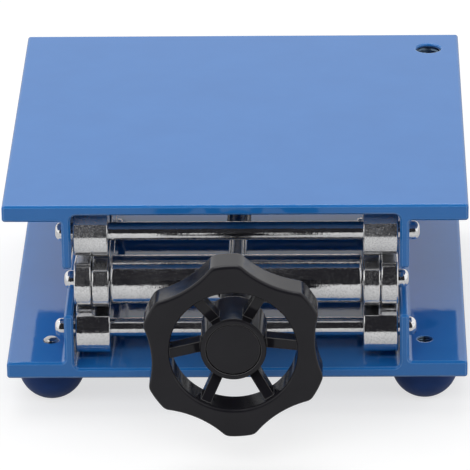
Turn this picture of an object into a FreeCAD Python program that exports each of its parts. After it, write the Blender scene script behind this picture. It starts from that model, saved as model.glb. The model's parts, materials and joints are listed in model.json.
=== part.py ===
# Laboratory scissor jack, closed: two channel plates, a two-stage scissor linkage, and a screw with a
# handwheel. Millimetres and degrees. X is to the right, Y points away from the handwheel and Z is up.
# The origin is on the floor, in the middle of the whole jack, handwheel included.
import FreeCAD
import Part
import Sketcher
import math
import os

Vector = FreeCAD.Vector

# Driving sizes. Each is set here once.
SIZES = {
    # plates: one channel section, used upright as the base and turned over as the platform
    "plate_depth": 150.0,
    "wing_width": 19.0,
    "wing_thick": 5.7,
    "floor_thick": 3.5,
    "flange_thick": 3.0,
    "flange_over": 8.8,  # flange above the pivots
    "root_round": 2.0,  # inside corner of floor and flange
    "wing_root_round": 1.2,  # outside corner of wing and flange
    "edge_round": 1.0,
    "end_bevel": 0.7,
    # tapped hole for a support rod, at one corner of the platform
    "rod_hole_dia": 8.5,
    "rod_hole_bevel": 0.45,
    "rod_hole_side": 10.5,  # from the side edge
    "rod_hole_back": 13.3,  # from the rear edge
    # feet and the studs that hold them
    "foot_dia": 22.0,
    "foot_flat": 7.7,  # ground flat under the dome
    "foot_drop": 3.2,  # widest girth below the base
    "foot_from_flange": 5.4,
    "foot_from_edge": 17.5,
    "stud_dia": 5.0,
    "stud_depth": 6.0,  # inside the foot
    "stud_proud": 0.8,
    "stud_sunk": 2.6,  # front right stud, below the wing's surface
    # pivots
    "pivot_inset": 10.9,  # front rods, from the front edge
    "slide_inset": 26.0,  # rear rods from the rear edge, closed
    "rod_dia": 6.0,
    "rod_overhang": 3.0,  # outside the flanges
    "rod_end_round": 2.0,
    "rod_float": 0.5,  # base rods lie this far to the left, platform rods to the right
    "pivot_clear": 0.08,
    "slot_play": 0.5,
    # arms
    "arm_width": 14.0,
    "arm_thick": 5.5,
    "arm_edge_round": 0.5,
    "arm_corner_round": 1.2,
    "arm_gap": 1.9,  # between a boss and the arm over or under it, closed
    "boss_dia": 16.4,  # arm end on a rod
    "eye_dia": 18.1,  # arm end on a bar
    "floor_gap": 1.8,  # under the bosses
    "layer_gap": 0.3,  # between bar, inner arm and outer arm
    "side_play": 0.5,  # between outer arm and flange
    "raised_fold": 60.0,  # arm angle at full height
    "rivet_head_dia": 10.0,
    "rivet_head_rise": 1.8,
    "rivet_head_round": 1.2,
    # bars between the two stages
    "bar_length": 81.8,
    "bar_dia": 16.0,
    "bar_end_round": 1.0,
    "bar_overhang": 3.5,  # pin ends outside the outer arms
    "spot_depth": 0.8,  # flats for washer and ring
    "spot_dia": 13.0,
    # screw and what sits on it
    "shank_dia": 6.0,
    "thread_dia": 8.0,
    "thread_start": 39.1,  # behind the front bar's axis
    "screw_tail": 11.0,  # behind the rear bar's axis
    "tail_bevel": 1.0,
    "screw_proud": 0.8,  # in front of its nut
    "thrust_play": 0.15,
    "washer_dia": 12.0,
    "washer_thick": 1.5,
    "ring_dia": 10.0,
    "ring_thick": 1.0,
    "ring_mouth": 4.0,
    "groove_dia": 5.0,
    "groove_play": 0.05,
    "sleeve_dia": 10.0,
    "sleeve_length": 27.75,
    # handwheel
    "wheel_dia": 59.4,
    "grip_depth": 3.8,
    "grip_radius": 32.0,
    "grip_round": 3.5,
    "rim_wall": 5.7,
    "rim_depth": 11.0,
    "rim_round": 1.0,
    "rim_lead": 2.0,  # rim in front of the hub
    "hub_dia": 21.0,
    "hub_length": 18.0,
    "hub_round": 0.6,
    "spoke_width": 3.4,
    "spoke_depth": 5.0,
    "spoke_sink_hub": 6.5,  # spoke behind the rim's front, at the hub
    "spoke_sink_rim": 2.0,
    "spoke_bite": 1.0,  # spoke inside the rim
    "wheel_turn": 3.8,  # anticlockwise from the front
    "cap_dia": 17.4,
    "cap_thick": 1.2,
    "cap_sink": 0.3,
    "cap_clear": 0.1,
    "cap_gap": 0.7,  # behind the cap
    "nut_flats": 10.0,
    "nut_thick": 5.0,
    "nut_well_dia": 15.2,
    "nut_sides": 6,
    "lobes": 6,
}

# Sizes worked out from the driving ones.
WORKED_OUT = {
    # side to side, from the middle outwards
    "inner_arm_in": "bar_length / 2 + layer_gap",
    "outer_arm_in": "inner_arm_in + arm_thick + layer_gap",
    "outer_arm_out": "outer_arm_in + arm_thick",
    "flange_in": "outer_arm_out + side_play",
    "flange_out": "flange_in + flange_thick",
    "half_width": "flange_out + wing_width",
    "stud_x": "flange_out + foot_from_flange",
    "rod_hole_x": "half_width - rod_hole_side",
    "rod_hole_y": "plate_depth - rod_hole_back",
    "boss_width": "outer_arm_out - inner_arm_in",
    "rivet_length": "boss_width + layer_gap / 2",
    "bar_end": "outer_arm_out + bar_overhang",
    "rod_length": "2 * (flange_out + rod_overhang)",
    # upwards from the floor
    "foot_height": "foot_drop + sqrt((foot_dia / 2) ^ 2 - (foot_flat / 2) ^ 2)",
    "pivot_height": "floor_thick + floor_gap + boss_dia / 2",
    "stage_rise": "(boss_dia + arm_width) / 2 + arm_gap",
    "flange_height": "pivot_height + flange_over",
    "low_z": "foot_height + pivot_height",
    "mid_z": "low_z + stage_rise",
    "high_z": "mid_z + stage_rise",
    "top_z": "high_z + pivot_height",
    # front to back
    "span": "plate_depth - pivot_inset - slide_inset",
    "arm_length": "sqrt(span ^ 2 + stage_rise ^ 2)",
    "fold": "atan(stage_rise / span)",
    "slide": "span - arm_length * cos(raised_fold)",
    "bar_face": "bar_dia / 2 - spot_depth",
    "thrust_face": "bar_face + thrust_play",
    "washer_front": "thrust_face + washer_thick",
    "hub_back": "washer_front + sleeve_length",
    "hub_front": "hub_back + hub_length",
    "rim_front": "hub_front + rim_lead",
    "cap_floor": "cap_sink + cap_thick",
    "nut_recess": "cap_floor + cap_gap + screw_proud + nut_thick",
    "nut_back": "hub_front - nut_recess",
    "screw_front": "nut_back + nut_thick + screw_proud",
    "back_y": "(plate_depth - pivot_inset + rim_front) / 2",
    "front_y": "back_y - plate_depth",
    "pivot_front_y": "front_y + pivot_inset",
    "pivot_back_y": "back_y - slide_inset",
    # round sizes
    "pivot_bore": "rod_dia / 2 + pivot_clear",
    "shank_bore": "shank_dia / 2 + pivot_clear",
    "thread_bore": "thread_dia / 2 + pivot_clear",
    "valley_radius": "wheel_dia / 2 - grip_depth",
    "rim_in": "valley_radius - rim_wall",
    "grip_offset": "valley_radius + grip_radius",
    "spoke_root": "(nut_well_dia + hub_dia) / 4",
    "nut_corner": "nut_flats / (2 * cos(180 / nut_sides))",
}

FULL_TURN = 360
HALF_TURN = "180 deg"
QUARTER_TURN = "90 deg"
MATCH = 0.01  # how near an edge lies to the place that is asked for

doc = FreeCAD.newDocument("scissor_jack")
sheet = doc.addObject("Spreadsheet::Sheet", "dims")
pieces = []


def fill_sheet():
    """Driving sizes in columns A and B, worked-out sizes in columns D and E."""
    for row, (name, number) in enumerate(SIZES.items(), start=1):
        sheet.set(f"A{row}", name)
        sheet.set(f"B{row}", str(number))
        sheet.setAlias(f"B{row}", name)
    for row, (name, formula) in enumerate(WORKED_OUT.items(), start=1):
        sheet.set(f"D{row}", name)
        sheet.set(f"E{row}", "=" + formula)
        sheet.setAlias(f"E{row}", name)
    doc.recompute()


def value(expression):
    """Number that an expression on the sheet gives."""
    result = sheet.evalExpression(expression)
    return getattr(result, "Value", result)


def near(first, second):
    return abs(first - second) < MATCH


def new_body(label):
    body = doc.addObject("PartDesign::Body", label)
    body.Label = label
    pieces.append(body)
    return body


def origin_feature(body, role):
    for feature in body.Origin.OriginFeatures:
        if feature.Role == role:
            return feature


def new_sketch(body, role, lift="0"):
    """Sketch on an origin plane of its body, moved along the plane's normal by lift."""
    sketch = body.newObject("Sketcher::SketchObject", body.Name + "_sketch")
    sketch.AttachmentSupport = [(origin_feature(body, role), "")]
    sketch.MapMode = "FlatFace"
    sketch.setExpression("AttachmentOffset.Base.z", lift)
    return sketch


def put_point(sketch, curve, end, x, y):
    """Tie a point of a curve to its place in the sketch."""
    if x == "0":
        sketch.addConstraint(Sketcher.Constraint("PointOnObject", curve, end, -2))
    else:
        across = sketch.addConstraint(Sketcher.Constraint("DistanceX", -1, 1, curve, end, value(x)))
        sketch.setExpression(f"Constraints[{across}]", x)
    if y == "0":
        sketch.addConstraint(Sketcher.Constraint("PointOnObject", curve, end, -1))
    else:
        up = sketch.addConstraint(Sketcher.Constraint("DistanceY", -1, 1, curve, end, value(y)))
        sketch.setExpression(f"Constraints[{up}]", y)


def sketch_line(sketch, start, end):
    return sketch.addGeometry(Part.LineSegment(start, end))


def outline(sketch, corners):
    """Closed outline of straight lines through the corners."""
    spots = [Vector(value(x), value(y), 0) for x, y in corners]
    lines = []
    for start, end in zip(spots, spots[1:] + spots[:1]):
        lines.append(sketch_line(sketch, start, end))
    for line, following in zip(lines, lines[1:] + lines[:1]):
        sketch.addConstraint(Sketcher.Constraint("Coincident", line, 2, following, 1))
    for line, (x, y) in zip(lines, corners):
        put_point(sketch, line, 1, x, y)


def set_radius(sketch, curve, radius):
    index = sketch.addConstraint(Sketcher.Constraint("Radius", curve, value(radius)))
    sketch.setExpression(f"Constraints[{index}]", radius)


def circle(sketch, x, y, radius):
    centre = Vector(value(x), value(y), 0)
    curve = sketch.addGeometry(Part.Circle(centre, Vector(0, 0, 1), value(radius)))
    put_point(sketch, curve, 3, x, y)
    set_radius(sketch, curve, radius)


def slot(sketch, start, end, height, radius):
    """Slot along the sketch's first axis, between the centres of its round ends."""
    first = Vector(value(start), value(height), 0)
    last = Vector(value(end), value(height), 0)
    size = value(radius)
    side = Vector(0, size, 0)
    normal = Vector(0, 0, 1)
    quarter = math.pi / 2
    upper = sketch_line(sketch, first + side, last + side)
    lower = sketch_line(sketch, last - side, first - side)
    far = sketch.addGeometry(Part.ArcOfCircle(Part.Circle(last, normal, size), -quarter, quarter))
    close = sketch.addGeometry(Part.ArcOfCircle(Part.Circle(first, normal, size), quarter, 3 * quarter))
    sketch.addConstraint(Sketcher.Constraint("Tangent", upper, 2, far, 2))
    sketch.addConstraint(Sketcher.Constraint("Tangent", lower, 1, far, 1))
    sketch.addConstraint(Sketcher.Constraint("Tangent", lower, 2, close, 2))
    sketch.addConstraint(Sketcher.Constraint("Tangent", upper, 1, close, 1))
    sketch.addConstraint(Sketcher.Constraint("Equal", far, close))
    put_point(sketch, close, 3, start, height)
    put_point(sketch, far, 3, end, height)
    set_radius(sketch, far, radius)


def new_pad(body, sketch, length, reverse=False, both_ways=False):
    pad = body.newObject("PartDesign::Pad", body.Name + "_pad")
    pad.Profile = sketch
    pad.setExpression("Length", length)
    pad.Reversed = reverse
    pad.Midplane = both_ways
    doc.recompute()
    return pad


def new_pocket(body, sketch, length, reverse=False, both_ways=False):
    before = body.Tip.Shape.Volume
    pocket = body.newObject("PartDesign::Pocket", body.Name + "_pocket")
    pocket.Profile = sketch
    pocket.setExpression("Length", length)
    pocket.Reversed = reverse
    pocket.Midplane = both_ways
    doc.recompute()
    if pocket.Shape.Volume >= before:
        raise RuntimeError(f"{pocket.Name} cuts nothing")
    return pocket


def new_revolution(body, sketch, axis):
    revolution = body.newObject("PartDesign::Revolution", body.Name + "_turned")
    revolution.Profile = sketch
    revolution.ReferenceAxis = (sketch, [axis])
    revolution.Angle = FULL_TURN
    doc.recompute()
    return revolution


def new_polar(body, feature, role, count):
    pattern = body.newObject("PartDesign::PolarPattern", body.Name + "_polar")
    pattern.Originals = [feature]
    pattern.Axis = (origin_feature(body, role), [""])
    pattern.Angle = FULL_TURN
    pattern.setExpression("Occurrences", count)
    body.Tip = pattern
    doc.recompute()
    return pattern


def pick_edges(feature, test):
    """Names of the feature's edges that pass a test."""
    return [f"Edge{number}" for number, edge in enumerate(feature.Shape.Edges, start=1) if test(edge)]


def new_fillet(body, base, test, radius):
    fillet = body.newObject("PartDesign::Fillet", body.Name + "_round")
    fillet.Base = (base, pick_edges(base, test))
    fillet.setExpression("Radius", radius)
    doc.recompute()
    return fillet


def new_chamfer(body, base, test, size):
    chamfer = body.newObject("PartDesign::Chamfer", body.Name + "_bevel")
    chamfer.Base = (base, pick_edges(base, test))
    chamfer.setExpression("Size", size)
    doc.recompute()
    return chamfer


def place(piece, x, y, z, axis=Vector(0, 0, 1), angle="0 deg"):
    """Put a piece at its place, turned about an axis."""
    piece.Placement = FreeCAD.Placement(Vector(), FreeCAD.Rotation(axis, 1))
    piece.setExpression("Placement.Base.x", x)
    piece.setExpression("Placement.Base.y", y)
    piece.setExpression("Placement.Base.z", z)
    piece.setExpression("Placement.Rotation.Angle", angle)


def is_round(edge, radius):
    return isinstance(edge.Curve, Part.Circle) and near(edge.Curve.Radius, radius)


def lies_at_x(edge, x):
    return near(edge.BoundBox.XMin, x) and near(edge.BoundBox.XMax, x)


def lies_at_y(edge, y):
    return near(edge.BoundBox.YMin, y) and near(edge.BoundBox.YMax, y)


def lengthwise_at(x, z):
    """Test for straight edges that run front to back at a distance x from the middle and a height z."""

    def test(edge):
        middle = edge.CenterOfMass
        runs = near(edge.BoundBox.YLength, edge.Length)
        return runs and near(abs(middle.x), value(x)) and near(middle.z, value(z))

    return test


def channel_plate(label):
    """Floor, two flanges and two thicker wings, with pivot holes in front and slots behind."""
    body = new_body(label)
    section = new_sketch(body, "XZ_Plane")
    wing_low = ("dims.half_width", "0")
    wing_high = ("dims.half_width", "dims.wing_thick")
    wing_root = ("dims.flange_out", "dims.wing_thick")
    flange_outer = ("dims.flange_out", "dims.flange_height")
    flange_inner = ("dims.flange_in", "dims.flange_height")
    floor_root = ("dims.flange_in", "dims.floor_thick")
    right = [wing_low, wing_high, wing_root, flange_outer, flange_inner, floor_root]
    left = [("-" + x, z) for x, z in reversed(right)]
    outline(section, right + left)
    plate = new_pad(body, section, "dims.plate_depth", reverse=True)
    plate = new_fillet(body, plate, lengthwise_at(*floor_root), "dims.root_round")
    plate = new_fillet(body, plate, lengthwise_at(*wing_root), "dims.wing_root_round")
    for corner in (wing_low, wing_high, flange_outer, flange_inner):
        plate = new_fillet(body, plate, lengthwise_at(*corner), "dims.edge_round")
    for end in ("0", "dims.plate_depth"):
        plate = new_chamfer(body, plate, lambda edge: lies_at_y(edge, value(end)), "dims.end_bevel")
    pivots = new_sketch(body, "YZ_Plane")
    circle(pivots, "dims.pivot_inset", "dims.pivot_height", "dims.pivot_bore")
    slot(
        pivots,
        "dims.plate_depth - dims.slide_inset - dims.slide - dims.slot_play",
        "dims.plate_depth - dims.slide_inset + dims.slot_play",
        "dims.pivot_height",
        "dims.pivot_bore",
    )
    new_pocket(body, pivots, "2 * dims.half_width", both_ways=True)
    return body


def base_plate():
    body = channel_plate("base_plate")
    holes = new_sketch(body, "XY_Plane")
    for x in ("-dims.stud_x", "dims.stud_x"):
        for y in ("dims.foot_from_edge", "dims.plate_depth - dims.foot_from_edge"):
            circle(holes, x, y, "dims.stud_dia / 2 + dims.pivot_clear")
    new_pocket(body, holes, "dims.wing_thick", reverse=True)
    place(body, "0", "dims.front_y", "dims.foot_height")


def top_plate():
    body = channel_plate("top_plate")
    hole = new_sketch(body, "XY_Plane")
    circle(hole, "-dims.rod_hole_x", "dims.rod_hole_y", "dims.rod_hole_dia / 2")
    bored = new_pocket(body, hole, "dims.wing_thick", reverse=True)
    radius = value("dims.rod_hole_dia / 2")

    def is_mouth(edge):
        return is_round(edge, radius) and near(edge.BoundBox.ZMax, 0)

    new_chamfer(body, bored, is_mouth, "dims.rod_hole_bevel")
    place(body, "0", "dims.front_y", "dims.top_z", Vector(0, 1, 0), HALF_TURN)


def foot(label, x, y):
    """Rubber dome with a ground flat and a blind hole for its stud."""
    body = new_body(label)
    section = new_sketch(body, "XZ_Plane")
    radius = value("dims.foot_dia / 2")
    drop = value("dims.foot_drop")
    height = value("dims.foot_height")
    top = Vector(math.sqrt(radius ** 2 - drop ** 2), 0, 0)
    flat = Vector(value("dims.foot_flat / 2"), -height, 0)
    ground = Vector(0, -height, 0)
    dome = Part.Circle(Vector(0, -drop, 0), Vector(0, 0, 1), radius)
    upper = sketch_line(section, Vector(), top)
    start = dome.parameter(flat)
    end = 2 * math.pi + dome.parameter(top)
    curve = section.addGeometry(Part.ArcOfCircle(dome, start, end))
    lower = sketch_line(section, flat, ground)
    axis = sketch_line(section, ground, Vector())
    section.addConstraint(Sketcher.Constraint("Coincident", upper, 2, curve, 2))
    section.addConstraint(Sketcher.Constraint("Coincident", curve, 1, lower, 1))
    section.addConstraint(Sketcher.Constraint("Coincident", lower, 2, axis, 1))
    section.addConstraint(Sketcher.Constraint("Coincident", axis, 2, upper, 1))
    section.addConstraint(Sketcher.Constraint("Coincident", upper, 1, -1, 1))
    section.addConstraint(Sketcher.Constraint("PointOnObject", upper, 2, -1))
    section.addConstraint(Sketcher.Constraint("Horizontal", lower))
    put_point(section, axis, 1, "0", "-dims.foot_height")
    put_point(section, curve, 3, "0", "-dims.foot_drop")
    set_radius(section, curve, "dims.foot_dia / 2")
    new_revolution(body, section, "V_Axis")
    hole = new_sketch(body, "XY_Plane")
    circle(hole, "0", "0", "dims.stud_dia / 2")
    new_pocket(body, hole, "dims.stud_depth")
    place(body, x, y, "dims.foot_height")


def stud(label, x, y, rise):
    """Threaded stud from inside the foot up through the wing."""
    piece = doc.addObject("Part::Cylinder", label)
    piece.Label = label
    piece.setExpression("Radius", "dims.stud_dia / 2")
    piece.setExpression("Height", f"dims.stud_depth + dims.wing_thick + {rise}")
    place(piece, x, y, "dims.foot_height - dims.stud_depth")
    pieces.append(piece)


def feet_and_studs():
    for side, x in (("left", "-dims.stud_x"), ("right", "dims.stud_x")):
        for end, y in (
            ("front", "dims.front_y + dims.foot_from_edge"),
            ("rear", "dims.back_y - dims.foot_from_edge"),
        ):
            sunk = side == "right" and end == "front"
            foot(f"foot_{end}_{side}", x, y)
            stud(f"foot_stud_{end}_{side}", x, y, "-dims.stud_sunk" if sunk else "dims.stud_proud")


def arm_outline(sketch):
    """Two straight edges, and at each end a shallow arc about the hole there."""
    half = value("dims.arm_width / 2")
    length = value("dims.arm_length")
    normal = Vector(0, 0, 1)
    boss = Part.Circle(Vector(), normal, value("dims.boss_dia / 2"))
    eye = Part.Circle(Vector(length, 0, 0), normal, value("dims.eye_dia / 2"))
    boss_swing = math.asin(half / boss.Radius)
    eye_swing = math.asin(half / eye.Radius)
    start = -boss.Radius * math.cos(boss_swing)
    end = length + eye.Radius * math.cos(eye_swing)
    upper = sketch_line(sketch, Vector(start, half, 0), Vector(end, half, 0))
    lower = sketch_line(sketch, Vector(end, -half, 0), Vector(start, -half, 0))
    close = sketch.addGeometry(Part.ArcOfCircle(boss, math.pi - boss_swing, math.pi + boss_swing))
    far = sketch.addGeometry(Part.ArcOfCircle(eye, -eye_swing, eye_swing))
    sketch.addConstraint(Sketcher.Constraint("Coincident", upper, 1, close, 1))
    sketch.addConstraint(Sketcher.Constraint("Coincident", upper, 2, far, 2))
    sketch.addConstraint(Sketcher.Constraint("Coincident", lower, 1, far, 1))
    sketch.addConstraint(Sketcher.Constraint("Coincident", lower, 2, close, 2))
    sketch.addConstraint(Sketcher.Constraint("Horizontal", upper))
    sketch.addConstraint(Sketcher.Constraint("Horizontal", lower))
    above = sketch.addConstraint(Sketcher.Constraint("DistanceY", -1, 1, upper, 1, half))
    sketch.setExpression(f"Constraints[{above}]", "dims.arm_width / 2")
    below = sketch.addConstraint(Sketcher.Constraint("DistanceY", lower, 1, -1, 1, half))
    sketch.setExpression(f"Constraints[{below}]", "dims.arm_width / 2")
    put_point(sketch, close, 3, "0", "0")
    put_point(sketch, far, 3, "dims.arm_length", "0")
    set_radius(sketch, close, "dims.boss_dia / 2")
    set_radius(sketch, far, "dims.eye_dia / 2")


def scissor_arm(label, x, y, z, angle, to_right):
    """Flat arm with a boss beside it on the rod at its plate end, a crossing hole and an eye for the bar."""
    body = new_body(label)
    flat = new_sketch(body, "YZ_Plane")
    arm_outline(flat)
    for along in ("0", "dims.arm_length / 2", "dims.arm_length"):
        circle(flat, along, "0", "dims.pivot_bore")
    arm = new_pad(body, flat, "dims.arm_thick", reverse=not to_right)
    half = value("dims.arm_width / 2")
    bore = value("dims.pivot_bore")

    def is_corner(edge):
        return near(edge.BoundBox.XLength, edge.Length) and near(abs(edge.CenterOfMass.z), half)

    def is_rim(edge):
        return near(edge.BoundBox.XLength, 0) and not is_round(edge, bore)

    arm = new_fillet(body, arm, is_corner, "dims.arm_corner_round")
    new_fillet(body, arm, is_rim, "dims.arm_edge_round")
    sign = "" if to_right else "-"
    ring = new_sketch(body, "YZ_Plane", sign + "(dims.arm_thick - dims.arm_edge_round)")
    circle(ring, "0", "0", "dims.boss_dia / 2")
    circle(ring, "0", "0", "dims.pivot_bore")
    beside = "dims.boss_width - dims.arm_thick + dims.arm_edge_round"
    boss = new_pad(body, ring, beside, reverse=not to_right)
    end = value(sign + "dims.boss_width")
    outer = value("dims.boss_dia / 2")

    def is_boss_end(edge):
        return is_round(edge, outer) and lies_at_x(edge, end)

    new_fillet(body, boss, is_boss_end, "dims.arm_edge_round")
    place(body, x, y, z, Vector(1, 0, 0), angle)


def scissor_arms():
    """Four arms on each side: inner ones reach out with their bosses, outer ones reach in."""
    front = "dims.pivot_front_y"
    back = "dims.pivot_back_y"
    back_falling = HALF_TURN + " + dims.fold"
    back_rising = HALF_TURN + " - dims.fold"
    for side, sign in (("left", "-"), ("right", "")):
        outwards = side == "right"
        inner = sign + "dims.inner_arm_in"
        outer = sign + "dims.outer_arm_out"
        scissor_arm(f"lower_inner_arm_{side}", inner, front, "dims.low_z", "dims.fold", outwards)
        scissor_arm(f"lower_outer_arm_{side}", outer, back, "dims.low_z", back_rising, not outwards)
        scissor_arm(f"upper_inner_arm_{side}", inner, back, "dims.high_z", back_falling, outwards)
        scissor_arm(f"upper_outer_arm_{side}", outer, front, "dims.high_z", "-dims.fold", not outwards)


def cross_rod(label, x, y, z):
    """Rod right through the jack, with rounded ends outside the flanges."""
    body = new_body(label)
    round_section = new_sketch(body, "YZ_Plane")
    circle(round_section, "0", "0", "dims.rod_dia / 2")
    rod = new_pad(body, round_section, "dims.rod_length", both_ways=True)
    radius = value("dims.rod_dia / 2")
    new_fillet(body, rod, lambda edge: is_round(edge, radius), "dims.rod_end_round")
    place(body, x, y, z)


def cross_rods():
    for end, y in (("front", "dims.pivot_front_y"), ("rear", "dims.pivot_back_y")):
        cross_rod(f"base_{end}_rod", "-dims.rod_float", y, "dims.low_z")
        cross_rod(f"top_{end}_rod", "dims.rod_float", y, "dims.high_z")


def crossing_pin(label, x, z, angle):
    """Rivet through both arms where they cross: flush outside, with a low head inside."""
    body = new_body(label)
    section = new_sketch(body, "XY_Plane")
    outline(section, [
        ("0", "0"),
        ("0", "dims.rod_dia / 2"),
        ("dims.rivet_length", "dims.rod_dia / 2"),
        ("dims.rivet_length", "dims.rivet_head_dia / 2"),
        ("dims.rivet_length + dims.rivet_head_rise", "dims.rivet_head_dia / 2"),
        ("dims.rivet_length + dims.rivet_head_rise", "0"),
    ])
    rivet = new_revolution(body, section, "H_Axis")
    end = value("dims.rivet_length + dims.rivet_head_rise")
    new_fillet(body, rivet, lambda edge: lies_at_x(edge, end), "dims.rivet_head_round")
    place(body, x, "(dims.pivot_front_y + dims.pivot_back_y) / 2", z, angle=angle)


def crossing_pins():
    for stage, lower_end in (("lower", "dims.low_z"), ("upper", "dims.mid_z")):
        z = lower_end + " + dims.stage_rise / 2"
        crossing_pin(f"{stage}_crossing_pin_left", "-dims.outer_arm_out", z, "0 deg")
        crossing_pin(f"{stage}_crossing_pin_right", "dims.outer_arm_out", z, HALF_TURN)


def middle_bar(label, bore):
    """Thick bar between the inner arms: thin pin ends go through the eyes, a cross hole takes the screw."""
    body = new_body(label)
    section = new_sketch(body, "XY_Plane")
    right = [
        ("dims.bar_length / 2", "dims.bar_dia / 2"),
        ("dims.bar_length / 2", "dims.rod_dia / 2"),
        ("dims.bar_end", "dims.rod_dia / 2"),
        ("dims.bar_end", "0"),
    ]
    left = [("-" + x, y) for x, y in reversed(right)]
    outline(section, right + left)
    bar = new_revolution(body, section, "H_Axis")
    thick = value("dims.bar_dia / 2")
    bar = new_fillet(body, bar, lambda edge: is_round(edge, thick), "dims.bar_end_round")
    end = value("dims.bar_end")

    def is_pin_end(edge):
        return near(abs(edge.CenterOfMass.x), end) and near(edge.BoundBox.XLength, 0)

    new_fillet(body, bar, is_pin_end, "dims.rod_end_round")
    hole = new_sketch(body, "XZ_Plane")
    circle(hole, "0", "0", bore)
    new_pocket(body, hole, "2 * dims.bar_dia", both_ways=True)
    return body


def front_bar():
    body = middle_bar("mid_front_bar", "dims.shank_bore")
    for lift, forwards in (("dims.bar_face", True), ("-dims.bar_face", False)):
        flat = new_sketch(body, "XZ_Plane", lift)
        circle(flat, "0", "0", "dims.spot_dia / 2")
        new_pocket(body, flat, "dims.bar_dia", reverse=forwards)
    place(body, "0", "dims.pivot_front_y", "dims.mid_z")


def rear_bar():
    body = middle_bar("mid_rear_bar", "dims.thread_bore")
    place(body, "0", "dims.pivot_back_y", "dims.mid_z")


def place_on_screw(piece, start, angle="0 deg"):
    """Put a piece on the screw's axis, start behind the front bar's axis."""
    place(piece, "0", "dims.pivot_front_y + " + start, "dims.mid_z", Vector(0, 1, 0), angle)


def lead_screw():
    body = new_body("lead_screw")
    section = new_sketch(body, "XY_Plane")
    outline(section, [
        ("0", "-dims.screw_front"),
        ("dims.shank_dia / 2", "-dims.screw_front"),
        ("dims.shank_dia / 2", "dims.thrust_face - dims.groove_play"),
        ("dims.groove_dia / 2", "dims.thrust_face - dims.groove_play"),
        ("dims.groove_dia / 2", "dims.thrust_face + dims.ring_thick + dims.groove_play"),
        ("dims.shank_dia / 2", "dims.thrust_face + dims.ring_thick + dims.groove_play"),
        ("dims.shank_dia / 2", "dims.thread_start"),
        ("dims.thread_dia / 2", "dims.thread_start + (dims.thread_dia - dims.shank_dia) / 2"),
        ("dims.thread_dia / 2", "dims.span + dims.screw_tail - dims.tail_bevel"),
        ("dims.thread_dia / 2 - dims.tail_bevel", "dims.span + dims.screw_tail"),
        ("0", "dims.span + dims.screw_tail"),
    ])
    new_revolution(body, section, "V_Axis")
    place_on_screw(body, "0")


def round_piece(label, inner, outer, length, start):
    """Washer, ring or tube on the screw."""
    body = new_body(label)
    section = new_sketch(body, "XZ_Plane")
    circle(section, "0", "0", outer)
    circle(section, "0", "0", inner)
    new_pad(body, section, length, reverse=True)
    place_on_screw(body, start)
    return body


def thrust_pieces():
    """Washer in front of the front bar, split ring behind it and the sleeve up to the handwheel's hub."""
    bore = "dims.shank_bore"
    groove = "dims.groove_dia / 2 + dims.groove_play"
    round_piece("thrust_washer", bore, "dims.washer_dia / 2", "dims.washer_thick", "-dims.washer_front")
    round_piece("spacer_sleeve", bore, "dims.sleeve_dia / 2", "dims.sleeve_length", "-dims.hub_back")
    ring = round_piece("retaining_ring", groove, "dims.ring_dia / 2", "dims.ring_thick", "dims.thrust_face")
    mouth = new_sketch(ring, "XZ_Plane")
    outline(mouth, [
        ("-dims.ring_mouth / 2", "0"),
        ("dims.ring_mouth / 2", "0"),
        ("dims.ring_mouth / 2", "-dims.ring_dia"),
        ("-dims.ring_mouth / 2", "-dims.ring_dia"),
    ])
    new_pocket(ring, mouth, "dims.ring_thick")


def handwheel():
    """Lobed rim, sloping spokes and a hub with a well for the nut and a seat for the cap."""
    body = new_body("handwheel")
    ring = new_sketch(body, "XZ_Plane")
    circle(ring, "0", "0", "dims.wheel_dia / 2")
    circle(ring, "0", "0", "dims.rim_in")
    new_pad(body, ring, "dims.rim_depth", reverse=True)
    hollow = new_sketch(body, "XZ_Plane")
    circle(hollow, "dims.grip_offset", "0", "dims.grip_radius")
    valley = new_pocket(body, hollow, "dims.rim_depth")
    rim = new_polar(body, valley, "Y_Axis", "dims.lobes")
    reach = value("dims.wheel_dia / 2")
    depth = value("dims.rim_depth")

    def is_lobe_corner(edge):
        middle = edge.CenterOfMass
        return near(edge.BoundBox.YLength, edge.Length) and near(math.hypot(middle.x, middle.z), reach)

    def is_on_a_face(edge):
        return lies_at_y(edge, 0) or lies_at_y(edge, depth)

    rim = new_fillet(body, rim, is_lobe_corner, "dims.grip_round")
    new_fillet(body, rim, is_on_a_face, "dims.rim_round")
    side = new_sketch(body, "XY_Plane")
    outline(side, [
        ("dims.spoke_root", "dims.spoke_sink_hub"),
        ("dims.rim_in + dims.spoke_bite", "dims.spoke_sink_rim"),
        ("dims.rim_in + dims.spoke_bite", "dims.spoke_sink_rim + dims.spoke_depth"),
        ("dims.spoke_root", "dims.spoke_sink_hub + dims.spoke_depth"),
    ])
    spoke = new_pad(body, side, "dims.spoke_width", both_ways=True)
    new_polar(body, spoke, "Y_Axis", "dims.lobes")
    section = new_sketch(body, "XY_Plane")
    outline(section, [
        ("dims.shank_bore", "dims.rim_lead + dims.hub_length"),
        ("dims.hub_dia / 2", "dims.rim_lead + dims.hub_length"),
        ("dims.hub_dia / 2", "dims.rim_lead"),
        ("dims.cap_dia / 2 + dims.cap_clear", "dims.rim_lead"),
        ("dims.cap_dia / 2 + dims.cap_clear", "dims.rim_lead + dims.cap_floor"),
        ("dims.nut_well_dia / 2", "dims.rim_lead + dims.cap_floor"),
        ("dims.nut_well_dia / 2", "dims.rim_lead + dims.nut_recess"),
        ("dims.shank_bore", "dims.rim_lead + dims.nut_recess"),
    ])
    hub = new_revolution(body, section, "V_Axis")
    hub_radius = value("dims.hub_dia / 2")
    hub_front = value("dims.rim_lead")

    def is_hub_front(edge):
        return is_round(edge, hub_radius) and lies_at_y(edge, hub_front)

    new_fillet(body, hub, is_hub_front, "dims.hub_round")
    place_on_screw(body, "-dims.rim_front", "-dims.wheel_turn * 1 deg")


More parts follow.
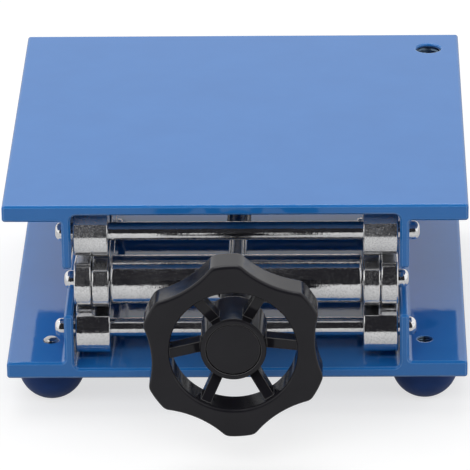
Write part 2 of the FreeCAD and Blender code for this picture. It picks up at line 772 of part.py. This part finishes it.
def handwheel_cap():
    body = new_body("handwheel_cap")
    disc = new_sketch(body, "XZ_Plane")
    circle(disc, "0", "0", "dims.cap_dia / 2")
    cap = new_pad(body, disc, "dims.cap_thick", reverse=True)
    new_chamfer(body, cap, lambda edge: lies_at_y(edge, 0), "dims.cap_sink")
    place_on_screw(body, "-(dims.hub_front - dims.cap_sink)")


def handwheel_nut():
    """Hexagon nut on the screw's front end, at the bottom of the hub's well."""
    hexagon = doc.addObject("Part::Prism", "nut_hexagon")
    hexagon.setExpression("Polygon", "dims.nut_sides")
    hexagon.setExpression("Circumradius", "dims.nut_corner")
    hexagon.setExpression("Height", "dims.nut_thick")
    bore = doc.addObject("Part::Cylinder", "nut_bore")
    bore.setExpression("Radius", "dims.shank_bore")
    bore.setExpression("Height", "dims.nut_thick")
    nut = doc.addObject("Part::Cut", "handwheel_nut")
    nut.Label = "handwheel_nut"
    nut.Base = hexagon
    nut.Tool = bore
    place(nut, "0", "dims.pivot_front_y - dims.nut_back", "dims.mid_z", Vector(1, 0, 0), QUARTER_TURN)
    pieces.append(nut)


def check_and_write():
    """Stop on any failed object, then write each piece to a file of its own."""
    doc.recompute()
    for item in doc.Objects:
        if "Invalid" in item.State or "Error" in item.State:
            raise RuntimeError(f"{item.Name} failed: {item.State}")
    for piece in pieces:
        if piece.Shape.isNull() or not piece.Shape.isValid():
            raise RuntimeError(f"{piece.Label} has no sound shape")
    os.makedirs("parts", exist_ok=True)
    for piece in pieces:
        piece.Shape.exportStep(f"parts/{piece.Label}.step")
        print(piece.Label, len(piece.Shape.Solids), round(piece.Shape.Volume, 1))


fill_sheet()
base_plate()
feet_and_studs()
scissor_arms()
cross_rods()
crossing_pins()
front_bar()
rear_bar()
top_plate()
lead_screw()
thrust_pieces()
handwheel()
handwheel_cap()
handwheel_nut()
check_and_write()
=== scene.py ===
"""Laboratory scissor jack, closed: materials, threads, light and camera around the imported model.

Metres. X is to the right seen from the handwheel, Y points away from it, Z is up and the floor is
at Z 0.
"""
import json
import math

import bpy
from mathutils import Matrix, Vector


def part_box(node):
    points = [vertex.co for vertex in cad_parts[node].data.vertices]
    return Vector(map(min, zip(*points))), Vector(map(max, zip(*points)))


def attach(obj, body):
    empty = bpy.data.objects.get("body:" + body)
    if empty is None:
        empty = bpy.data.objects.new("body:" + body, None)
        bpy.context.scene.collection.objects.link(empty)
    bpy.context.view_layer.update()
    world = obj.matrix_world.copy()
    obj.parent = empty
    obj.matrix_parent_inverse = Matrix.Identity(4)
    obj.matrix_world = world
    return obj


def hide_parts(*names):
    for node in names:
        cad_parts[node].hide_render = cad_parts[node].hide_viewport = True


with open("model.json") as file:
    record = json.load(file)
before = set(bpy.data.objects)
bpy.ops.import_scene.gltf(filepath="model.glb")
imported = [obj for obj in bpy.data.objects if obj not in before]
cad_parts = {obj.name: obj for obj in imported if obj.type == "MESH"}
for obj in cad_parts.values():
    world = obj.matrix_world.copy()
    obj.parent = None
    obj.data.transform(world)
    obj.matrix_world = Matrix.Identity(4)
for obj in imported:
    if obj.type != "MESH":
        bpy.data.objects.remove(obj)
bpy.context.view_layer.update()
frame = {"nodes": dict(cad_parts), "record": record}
nodes = frame["nodes"]
scene = bpy.context.scene

MM = 0.001
MICRON = 0.000001
WHITE = (1.0, 1.0, 1.0, 1.0)

# Sizes that the threads take from the model.
SCREW_SHANK = 3.0 * MM
SCREW_CREST = 4.0 * MM
SCREW_PITCH = 1.25 * MM
SCREW_PLAIN = 39.1 * MM  # shank without thread behind the front bar's axis
SCREW_TIP_BEVEL = 0.4 * MM
SCREW_END_BEVEL = 1.0 * MM
STUD_CREST = 2.5 * MM
STUD_PITCH = 0.8 * MM
STUD_BEVEL = 0.5 * MM
STUD_HOLE = 2.58 * MM
STUD_SUNK = 2.6 * MM  # front right stud, below the wing's top
HOLE_RADIUS = 4.25 * MM
HOLE_PITCH = 1.5 * MM

# Sizes of the threads' own.
THREAD_DEPTH = 0.61  # share of the pitch, on a rod
BUSH_DEPTH = 0.3  # share of the pitch, in a hole
HALF_CREST = 0.09  # share of the pitch
FLANK = 0.3  # share of the pitch
RINGS_PER_TURN = 8
SCREW_SIDES, STUD_SIDES, HOLE_SIDES = 40, 32, 48
STUD_FACE_EDGE = 0.1 * MM  # height of the last, flatter bevel
STUD_FACE_INSET = 0.2 * MM
BUSH_WALL = 0.08 * MM  # behind the deepest part of the thread
BUSH_BITE = 0.03 * MM  # sunk into the wall of the hole
HOLE_THREAD_TOP, HOLE_THREAD_END = 0.9 * MM, 5.6 * MM  # below the platform's top
STUD_HOLE_THREAD_TOP = 0.25 * MM  # below the wing's top
SHARP_EDGE = math.radians(40)

# Noise lies mostly between these two, so most ramps run from one to the other.
FAINT, STRONG = 0.3, 0.7
BEVEL_SAMPLES = 6
# Cosine between the plain and the rounded normal where a painted edge highlight starts to show and
# where it is full.
HIGHLIGHT_STARTS, HIGHLIGHT_FULL = 0.995, 0.85


# Shader nodes

def new_material(name):
    """New material. Gives the material, its node tree and its Principled shader."""
    material = bpy.data.materials.new(name)
    material.use_nodes = True
    tree = material.node_tree
    return material, tree, tree.nodes["Principled BSDF"]


def add(tree, kind, **values):
    """New node; a value goes to the property or the input of that name."""
    node = tree.nodes.new("ShaderNode" + kind)
    for name, value in values.items():
        if hasattr(node, name):
            setattr(node, name, value)
        else:
            node.inputs[name.replace("_", " ")].default_value = value
    return node


def feed(tree, node, **sources):
    """Link outputs to the node's inputs of those names."""
    for name, source in sources.items():
        tree.links.new(source, node.inputs[name.replace("_", " ")])


def set_shader(shader, **values):
    """Set the shader's inputs of those names to plain values."""
    for name, value in values.items():
        shader.inputs[name.replace("_", " ")].default_value = value


def calculated(tree, operation, *values):
    """Result of a calculation; each value is an output or a plain number."""
    node = add(tree, "Math", operation=operation)
    for socket, value in zip(node.inputs, values):
        if isinstance(value, float):
            socket.default_value = value
        else:
            tree.links.new(value, socket)
    return node.outputs[0]


def remapped(tree, source, start, end, low=0.0, high=1.0):
    """Value that goes from low to high as the source goes from start to end."""
    node = add(tree, "MapRange", From_Min=start, From_Max=end, To_Min=low, To_Max=high)
    feed(tree, node, Value=source)
    return node.outputs[0]


def noise(tree, scale, detail=2.0):
    """Noise over the object's own coordinates; scale is in features per metre."""
    place = add(tree, "TexCoord")
    texture = add(tree, "TexNoise", Scale=scale, Detail=detail)
    feed(tree, texture, Vector=place.outputs["Object"])
    return texture.outputs["Fac"]


def ramp(tree, source, *stops):
    """Colour ramp; a stop is a place and a colour or a grey."""
    node = add(tree, "ValToRGB")
    elements = node.color_ramp.elements
    while len(elements) < len(stops):
        elements.new(0.5)
    for element, (place, colour) in zip(elements, stops):
        element.position = place
        shade = colour if isinstance(colour, tuple) else (colour, colour, colour)
        element.color = (*shade, 1.0)
    feed(tree, node, Fac=source)
    return node.outputs["Color"]


def mixed(tree, share, first, second):
    """Colour that goes from one to the other as the share goes from 0 to 1."""
    mix = add(tree, "MixRGB", Color2=(*second, 1.0))
    feed(tree, mix, Fac=share, Color1=first)
    return mix.outputs["Color"]


def bumps(tree, shader, *layers, edge=0.0):
    """Height layers, each a texture and its height in metres, over edges rounded by a radius."""
    normal = None
    if edge:
        normal = add(tree, "Bevel", samples=BEVEL_SAMPLES, Radius=edge).outputs["Normal"]
    for height, amount in layers:
        bump = add(tree, "Bump", Strength=1.0, Distance=amount)
        feed(tree, bump, Height=height)
        if normal is not None:
            feed(tree, bump, Normal=normal)
        normal = bump.outputs["Normal"]
    feed(tree, shader, Normal=normal)


def painted_highlight_share(tree, radius):
    """Share of a painted edge highlight: 1 along an edge, falling to 0 within a radius of it."""
    rounded = add(tree, "Bevel", samples=BEVEL_SAMPLES, Radius=radius)
    plain = add(tree, "NewGeometry")
    agree = add(tree, "VectorMath", operation="DOT_PRODUCT")
    tree.links.new(rounded.outputs["Normal"], agree.inputs[0])
    tree.links.new(plain.outputs["Normal"], agree.inputs[1])
    return remapped(tree, agree.outputs["Value"], HIGHLIGHT_STARTS, HIGHLIGHT_FULL)


# Materials

def blue_enamel():
    """Glossy stoved enamel with a slight orange peel and a painted highlight, paler along its
    edges.
    """
    material, tree, shader = new_material("blue_enamel")
    colour = ramp(
        tree, noise(tree, 60, detail=3),
        (FAINT, (0.017, 0.170, 0.520)),
        (STRONG, (0.021, 0.182, 0.545)),
    )
    feed(
        tree, shader,
        # the paler blue along the edges is a painted highlight standing in for the light on the
        # rounded edges
        Base_Color=mixed(tree, painted_highlight_share(tree, 0.45 * MM), colour, (0.22, 0.46, 0.84)),
        Roughness=ramp(tree, noise(tree, 220), (FAINT, 0.03), (STRONG, 0.06)),
    )
    set_shader(shader, IOR=1.55)
    bumps(
        tree, shader,
        (noise(tree, 300), 7 * MICRON),
        (noise(tree, 2600, detail=1), 0.6 * MICRON),
        edge=0.6 * MM,
    )
    return material


def chrome(name, cloud, spots, dullest, uneven):
    """Bright plating over castings and bars that were not polished quite flat.

    It has a fine grain in cloudy patches. Cloud is what the patches add to the noise, spots the
    noise where the grain starts and is full, dullest the share of metal that full grain has and
    uneven the height of the bumps.
    """
    material, tree, shader = new_material(name)
    cloudy = remapped(tree, noise(tree, 110, detail=5), FAINT, STRONG, *cloud)
    speckle = calculated(tree, "ADD", noise(tree, 2000, detail=3), cloudy)
    grain = ramp(tree, speckle, (spots[0], 0.0), (spots[1], 1.0))
    tone = ramp(
        tree, noise(tree, 140, detail=4),
        (0.25, (0.76, 0.765, 0.775)),
        (0.6, (0.87, 0.87, 0.875)),
    )
    feed(
        tree, shader,
        Base_Color=mixed(tree, grain, tone, (0.72, 0.72, 0.73)),
        Roughness=ramp(tree, grain, (0.0, 0.04), (1.0, 0.24)),
        Metallic=ramp(tree, grain, (0.0, 1.0), (1.0, dullest)),
    )
    bumps(
        tree, shader,
        (noise(tree, 130), 16 * MICRON),
        (noise(tree, 1300, detail=3), uneven),
        edge=0.15 * MM,
    )
    return material


def bright_steel():
    """Zinc-plated steel of screws, studs and washers."""
    material, tree, shader = new_material("bright_steel")
    colour = ramp(
        tree, noise(tree, 300, detail=4),
        (FAINT, (0.36, 0.36, 0.365)),
        (STRONG, (0.50, 0.50, 0.49)),
    )
    feed(
        tree, shader,
        Base_Color=colour,
        Roughness=ramp(tree, noise(tree, 700, detail=3), (FAINT, 0.06), (STRONG, 0.14)),
    )
    set_shader(shader, Metallic=1.0)
    bumps(tree, shader, (noise(tree, 900), 3 * MICRON), edge=0.1 * MM)
    return material


def dark_steel(name, darkest, palest):
    """Dark bare steel, in threaded holes and on the sleeve."""
    material, tree, shader = new_material(name)
    feed(
        tree, shader,
        Base_Color=ramp(tree, noise(tree, 500, detail=4), (FAINT, darkest), (STRONG, palest)),
        Roughness=ramp(tree, noise(tree, 900, detail=3), (FAINT, 0.25), (STRONG, 0.45)),
    )
    set_shader(shader, Metallic=1.0)
    bumps(tree, shader, (noise(tree, 1500), 3 * MICRON))
    return material


def black_plastic():
    """Moulded plastic with a fine grain and a painted highlight, paler along its edges."""
    material, tree, shader = new_material("black_plastic")
    colour = ramp(
        tree, noise(tree, 90, detail=3),
        (FAINT, (0.0125, 0.0120, 0.0155)),
        (STRONG, (0.0160, 0.0155, 0.0195)),
    )
    feed(
        tree, shader,
        # the pale grey along the edges is a painted highlight standing in for the light on the
        # moulded edges
        Base_Color=mixed(tree, painted_highlight_share(tree, 0.4 * MM), colour, (0.16, 0.157, 0.16)),
        Roughness=ramp(tree, noise(tree, 350, detail=3), (FAINT, 0.1), (STRONG, 0.17)),
    )
    set_shader(shader, Specular_IOR_Level=0.28)
    bumps(
        tree, shader,
        (noise(tree, 260), 4 * MICRON),
        (noise(tree, 2400, detail=1), 1.0 * MICRON),
        edge=0.8 * MM,
    )
    return material


def blue_rubber():
    """Moulded rubber, a little dusty."""
    material, tree, shader = new_material("blue_rubber")
    colour = ramp(
        tree, noise(tree, 180, detail=4),
        (FAINT, (0.014, 0.048, 0.180)),
        (0.75, (0.019, 0.058, 0.210)),
    )
    feed(
        tree, shader,
        Base_Color=colour,
        Roughness=ramp(tree, noise(tree, 600, detail=3), (FAINT, 0.36), (STRONG, 0.5)),
    )
    set_shader(shader, Specular_IOR_Level=0.2)
    bumps(tree, shader, (noise(tree, 1500), 4 * MICRON), edge=0.4 * MM)
    return material


MATERIALS = {
    "blue_enamel": blue_enamel(),
    "chrome": chrome("chrome", (-0.1, 0.06), (0.46, 0.64), 0.95, 42 * MICRON),
    "hazy_chrome": chrome("hazy_chrome", (-0.06, 0.16), (0.34, 0.84), 0.62, 24 * MICRON),
    "cloudy_chrome": chrome("cloudy_chrome", (-0.08, 0.14), (0.40, 0.78), 0.82, 36 * MICRON),
    "bright_steel": bright_steel(),
    # in the threaded holes this steel's dark bluish colour is painted shade and a painted
    # reflection of the blue enamel around them
    "dark_steel": dark_steel("dark_steel", (0.08, 0.12, 0.17), (0.17, 0.24, 0.33)),
    "black_steel": dark_steel("black_steel", (0.020, 0.021, 0.028), (0.040, 0.042, 0.052)),
    "black_plastic": black_plastic(),
    "blue_rubber": blue_rubber(),
}

# Nodes that don't look like the rest of their slot.
LOOKS = {
    "lower_outer_arm_left": "cloudy_chrome",
    "lower_outer_arm_right": "cloudy_chrome",
    "upper_inner_arm_left": "cloudy_chrome",
    "upper_inner_arm_right": "cloudy_chrome",
    "upper_outer_arm_left": "hazy_chrome",
    "upper_outer_arm_right": "hazy_chrome",
    "spacer_sleeve": "black_steel",
}


def dress(piece, look):
    """Give a piece the material of that name."""
    piece.data.materials.clear()
    piece.data.materials.append(MATERIALS[look])


# Threads

def new_piece(name, points, faces):
    """New object of the scene, smooth but for its sharp edges."""
    mesh = bpy.data.meshes.new(name)
    mesh.from_pydata(points, [], faces)
    mesh.update()
    piece = bpy.data.objects.new(name, mesh)
    scene.collection.objects.link(piece)
    mesh.shade_smooth()
    mesh.set_sharp_from_angle(angle=SHARP_EDGE)
    return piece


def thread_radius(turn, crest, depth):
    """Radius of a thread at a place along its pitch, counted in turns."""
    from_crest = abs(turn % 1.0 - 0.5)
    slope = min(max((from_crest - HALF_CREST) / FLANK, 0.0), 1.0)
    return crest - depth * slope


def rings_between(start, end, step):
    """Heights from start up to the last one before end, at most a step apart."""
    count = max(1, math.ceil((end - start) / step))
    return [start + (end - start) * i / count for i in range(count)]


def on_ring(radius, side, sides, height):
    """Point at one of the sides of a ring around Z."""
    angle = 2 * math.pi * side / sides
    return radius * math.cos(angle), radius * math.sin(angle), height


def threaded_rod(name, profile, threaded, pitch, sides):
    """Closed rod along Z.

    Profile is its plain stations, each a height and a radius, and threaded the span that is cut.
    """
    crest = max(radius for _, radius in profile)
    depth = THREAD_DEPTH * pitch
    heights = []
    for (low, _), (high, _) in zip(profile, profile[1:]):
        cut = high > threaded[0] and low < threaded[1]
        heights += rings_between(low, high, pitch / RINGS_PER_TURN if cut else high - low)
    heights.append(profile[-1][0])

    def plain(height):
        for (low, start), (high, end) in zip(profile, profile[1:]):
            if low <= height <= high and high > low:
                return start + (end - start) * (height - low) / (high - low)
        return profile[-1][1]

    points, faces = [], []
    for height in heights:
        for side in range(sides):
            radius = plain(height)
            if threaded[0] < height < threaded[1]:
                turn = height / pitch - side / sides
                radius = min(radius, thread_radius(turn, crest, depth))
            points.append(on_ring(radius, side, sides, height))
    for row in range(len(heights) - 1):
        for side in range(sides):
            beside = (side + 1) % sides
            first, second = row * sides, (row + 1) * sides
            faces.append((first + side, first + beside, second + beside, second + side))
    faces.append(tuple(reversed(range(sides))))
    faces.append(tuple(range(len(points) - sides, len(points))))
    return new_piece(name, points, faces)


def threaded_bush(name, outer, low, high, pitch, sides):
    """Closed tube along Z with a thread inside."""
    heights = rings_between(low, high, pitch / RINGS_PER_TURN) + [high]
    depth = BUSH_DEPTH * pitch
    points, faces = [], []
    for height in heights:
        for side in range(sides):
            cut = thread_radius(height / pitch - side / sides, depth, depth)
            points.append(on_ring(outer - BUSH_WALL - depth + cut, side, sides, height))
    bottom = len(points)
    top = bottom + sides
    last = bottom - sides
    for height in (low, high):
        points += [on_ring(outer, side, sides, height) for side in range(sides)]
    for side in range(sides):
        beside = (side + 1) % sides
        for row in range(len(heights) - 1):
            first, second = row * sides, (row + 1) * sides
            faces.append((first + side, second + side, second + beside, first + beside))
        faces.append((bottom + side, bottom + beside, top + beside, top + side))
        faces.append((side, beside, bottom + beside, bottom + side))
        faces.append((last + side, top + side, top + beside, last + beside))
    return new_piece(name, points, faces)


def lead_screw():
    """Screw with a right-hand thread behind its plain shank."""
    low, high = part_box("lead_screw")
    length = high.y - low.y
    bar = (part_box("mid_front_bar")[0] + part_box("mid_front_bar")[1]) / 2
    start = bar.y - low.y + SCREW_PLAIN
    cone = SCREW_CREST - SCREW_SHANK
    profile = [
        (0.0, SCREW_SHANK - SCREW_TIP_BEVEL),
        (SCREW_TIP_BEVEL, SCREW_SHANK),
        (start, SCREW_SHANK),
        (start + cone, SCREW_CREST),
        (length - SCREW_END_BEVEL, SCREW_CREST),
        (length, SCREW_CREST - SCREW_END_BEVEL),
    ]
    piece = threaded_rod(
        "lead_screw_threaded", profile, (start, length), SCREW_PITCH, SCREW_SIDES
    )
    turn = Matrix.Rotation(math.radians(-90), 4, "X")
    piece.data.transform(Matrix.Translation(Vector((0.0, low.y, bar.z))) @ turn)
    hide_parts("lead_screw")
    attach(piece, "drive")
    dress(piece, "bright_steel")


def foot_studs():
    """Threaded studs with bevelled ends that stand in the feet."""
    for end in ("front", "rear"):
        for side in ("left", "right"):
            node = f"foot_stud_{end}_{side}"
            low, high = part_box(node)
            length = high.z - low.z
            bevelled = STUD_CREST - STUD_BEVEL
            profile = [
                (0.0, STUD_CREST),
                (length - STUD_BEVEL, STUD_CREST),
                (length - STUD_FACE_EDGE, bevelled + STUD_FACE_EDGE),
                (length, bevelled - STUD_FACE_INSET),
            ]
            piece = threaded_rod(
                f"stud_threaded_{end}_{side}", profile, (0.0, length), STUD_PITCH, STUD_SIDES
            )
            middle = (low + high) / 2
            piece.data.transform(Matrix.Translation(Vector((middle.x, middle.y, low.z))))
            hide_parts(node)
            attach(piece, "base")
            dress(piece, "bright_steel")


def rod_hole_thread():
    """Thread inside the platform's corner hole."""
    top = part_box("top_plate")[1].z
    mounts = {mount["name"]: mount for mount in frame["record"]["mounts"]}
    place = mounts["support_rod_hole"]["pos_m"]
    piece = threaded_bush(
        "support_rod_thread", HOLE_RADIUS + BUSH_BITE,
        top - HOLE_THREAD_END, top - HOLE_THREAD_TOP, HOLE_PITCH, HOLE_SIDES,
    )
    piece.data.transform(Matrix.Translation(Vector((place[0], place[1], 0.0))))
    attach(piece, "platform")
    # dark bluish steel: painted shade and painted reflection inside the hole
    dress(piece, "dark_steel")


def stud_hole_thread():
    """Thread inside the base's front right hole, over the stud that stands low in it."""
    low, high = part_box("foot_stud_front_right")
    middle = (low + high) / 2
    wing_top = high.z + STUD_SUNK
    piece = threaded_bush(
        "stud_hole_thread", STUD_HOLE + BUSH_BITE,
        high.z, wing_top - STUD_HOLE_THREAD_TOP, STUD_PITCH, STUD_SIDES,
    )
    piece.data.transform(Matrix.Translation(Vector((middle.x, middle.y, 0.0))))
    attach(piece, "base")
    # dark bluish steel: painted shade and painted reflection inside the hole
    dress(piece, "dark_steel")


for part in frame["record"]["subparts"]:
    dress(nodes[part["node"]], LOOKS.get(part["node"], part["material_slot"]))
lead_screw()
foot_studs()
rod_hole_thread()
stud_hole_thread()


# Floor, light and camera

FLOOR_FRONT, FLOOR_BACK, FLOOR_SIDE = -0.48, 4.0, 3.0
FLOOR_COLOUR = (0.42, 0.42, 0.42, 1.0)
FLOOR_SEEN = 0.66  # glow that the camera sees
FLOOR_MIRRORED = 0.23  # glow that reflections see

DARK_ROOM = (0.017, 0.017, 0.02, 1.0)
# A direction leads into the dark room where its Y plus the size of its X is below the first
# value, and fully below the second.
ROOM_STARTS, ROOM_FULL = 0.0, -0.2
# Z of a direction at the edge of the white ceiling and where the dark room is full.
CEILING_EDGE, CEILING_ENDS = 0.992, 0.955
# Fill from straight ahead and behind, up to the first X, and from the sides, past the second.
FILL_MIDDLE_X, FILL_SIDE_X = 0.25, 0.85
FILL_MIDDLE, FILL_SIDE = 0.22, 0.9

LAMPS_AIM = (0.0, 0.0, 0.05)


def stage_floor():
    """White table: it takes the shadow, shows white to the camera and grey in the metal."""
    corners = [
        (-FLOOR_SIDE, FLOOR_FRONT, 0),
        (FLOOR_SIDE, FLOOR_FRONT, 0),
        (FLOOR_SIDE, FLOOR_BACK, 0),
        (-FLOOR_SIDE, FLOOR_BACK, 0),
    ]
    floor = new_piece("floor", corners, [(0, 1, 2, 3)])
    material = bpy.data.materials.new("white_table")
    material.use_nodes = True
    tree = material.node_tree
    tree.nodes.clear()
    diffuse = add(tree, "BsdfDiffuse", Color=FLOOR_COLOUR)
    glow = add(tree, "Emission", Color=WHITE)
    rays = add(tree, "LightPath").outputs
    seen = calculated(tree, "MULTIPLY", rays["Is Camera Ray"], FLOOR_SEEN)
    strength = calculated(tree, "MULTIPLY_ADD", rays["Is Glossy Ray"], FLOOR_MIRRORED, seen)
    feed(tree, glow, Strength=strength)
    both = add(tree, "AddShader")
    tree.links.new(diffuse.outputs[0], both.inputs[0])
    tree.links.new(glow.outputs[0], both.inputs[1])
    feed(tree, add(tree, "OutputMaterial"), Surface=both.outputs[0])
    floor.data.materials.append(material)


def studio_world():
    """White sweep behind, white walls at the sides, a dark room in front and a plain soft fill.

    The camera sees white all round, reflections see the room and the shading takes the fill.
    """
    world = bpy.data.worlds.new("studio")
    scene.world = world
    world.use_nodes = True
    tree = world.node_tree
    tree.nodes.clear()
    place = add(tree, "TexCoord")
    axes = add(tree, "SeparateXYZ")
    feed(tree, axes, Vector=place.outputs["Generated"])
    rays = add(tree, "LightPath").outputs

    sideways = calculated(tree, "ABSOLUTE", axes.outputs["X"])
    off_front = calculated(tree, "ADD", axes.outputs["Y"], sideways)
    towards_front = remapped(tree, off_front, ROOM_STARTS, ROOM_FULL)
    below_ceiling = remapped(tree, axes.outputs["Z"], CEILING_EDGE, CEILING_ENDS)
    dark = calculated(tree, "MULTIPLY", towards_front, below_ceiling)
    not_seen = calculated(tree, "SUBTRACT", 1.0, rays["Is Camera Ray"])
    room = add(tree, "MixRGB", Color1=WHITE, Color2=DARK_ROOM)
    feed(tree, room, Fac=calculated(tree, "MULTIPLY", dark, not_seen))
    shown = add(tree, "Background", Strength=1.0)
    feed(tree, shown, Color=room.outputs[0])

    fill = add(tree, "Background", Color=WHITE)
    from_sides = remapped(tree, sideways, FILL_MIDDLE_X, FILL_SIDE_X, FILL_MIDDLE, FILL_SIDE)
    feed(tree, fill, Strength=from_sides)

    seen = calculated(tree, "MAXIMUM", rays["Is Camera Ray"], rays["Is Glossy Ray"])
    mix = add(tree, "MixShader")
    feed(tree, mix, Fac=calculated(tree, "MAXIMUM", seen, rays["Is Transmission Ray"]))
    tree.links.new(fill.outputs[0], mix.inputs[1])
    tree.links.new(shown.outputs[0], mix.inputs[2])
    feed(tree, add(tree, "OutputWorld"), Surface=mix.outputs[0])


def softbox(name, place, width, height, power, mirrored=True):
    """Rectangular lamp that faces the jack; one that isn't mirrored doesn't show in the metal."""
    lamp = bpy.data.lights.new(name, "AREA")
    lamp.shape = "RECTANGLE"
    lamp.size = width
    lamp.size_y = height
    lamp.energy = power
    holder = bpy.data.objects.new(name, lamp)
    scene.collection.objects.link(holder)
    holder.location = place
    way = Vector(LAMPS_AIM) - Vector(place)
    holder.rotation_euler = way.to_track_quat("-Z", "Y").to_euler()
    holder.visible_glossy = mirrored
    holder.visible_camera = False


def photo_camera():
    """Camera at the photograph's angle, fitted to the plates' corners."""
    yaw, pitch, roll = math.radians(-1.41), math.radians(23.72), math.radians(-0.813)
    distance, focal_pixels, picture = 1.6067, 4827.1, 470
    target = Vector((-0.00125, -0.00192, 0.04235))
    forward = Vector((
        math.sin(yaw) * math.cos(pitch),
        math.cos(yaw) * math.cos(pitch),
        -math.sin(pitch),
    ))
    level = Vector((math.cos(yaw), -math.sin(yaw), 0.0))
    upright = level.cross(forward)
    right = math.cos(roll) * level + math.sin(roll) * upright
    up = math.cos(roll) * upright - math.sin(roll) * level
    data = bpy.data.cameras.new("photo_camera")
    data.sensor_width = 36.0
    data.lens = focal_pixels / picture * data.sensor_width
    camera = bpy.data.objects.new("photo_camera", data)
    scene.collection.objects.link(camera)
    axes = Matrix((right, up, -forward)).transposed().to_4x4()
    camera.matrix_world = Matrix.Translation(target - distance * forward) @ axes
    scene.camera = camera


stage_floor()
studio_world()
softbox("key", (-0.14, 0.26, 1.25), width=1.1, height=0.9, power=7.2)
softbox("front_fill", (-0.15, -1.0, 1.0), width=1.0, height=0.4, power=5.0, mirrored=False)
photo_camera()
scene.view_settings.view_transform = "Standard"
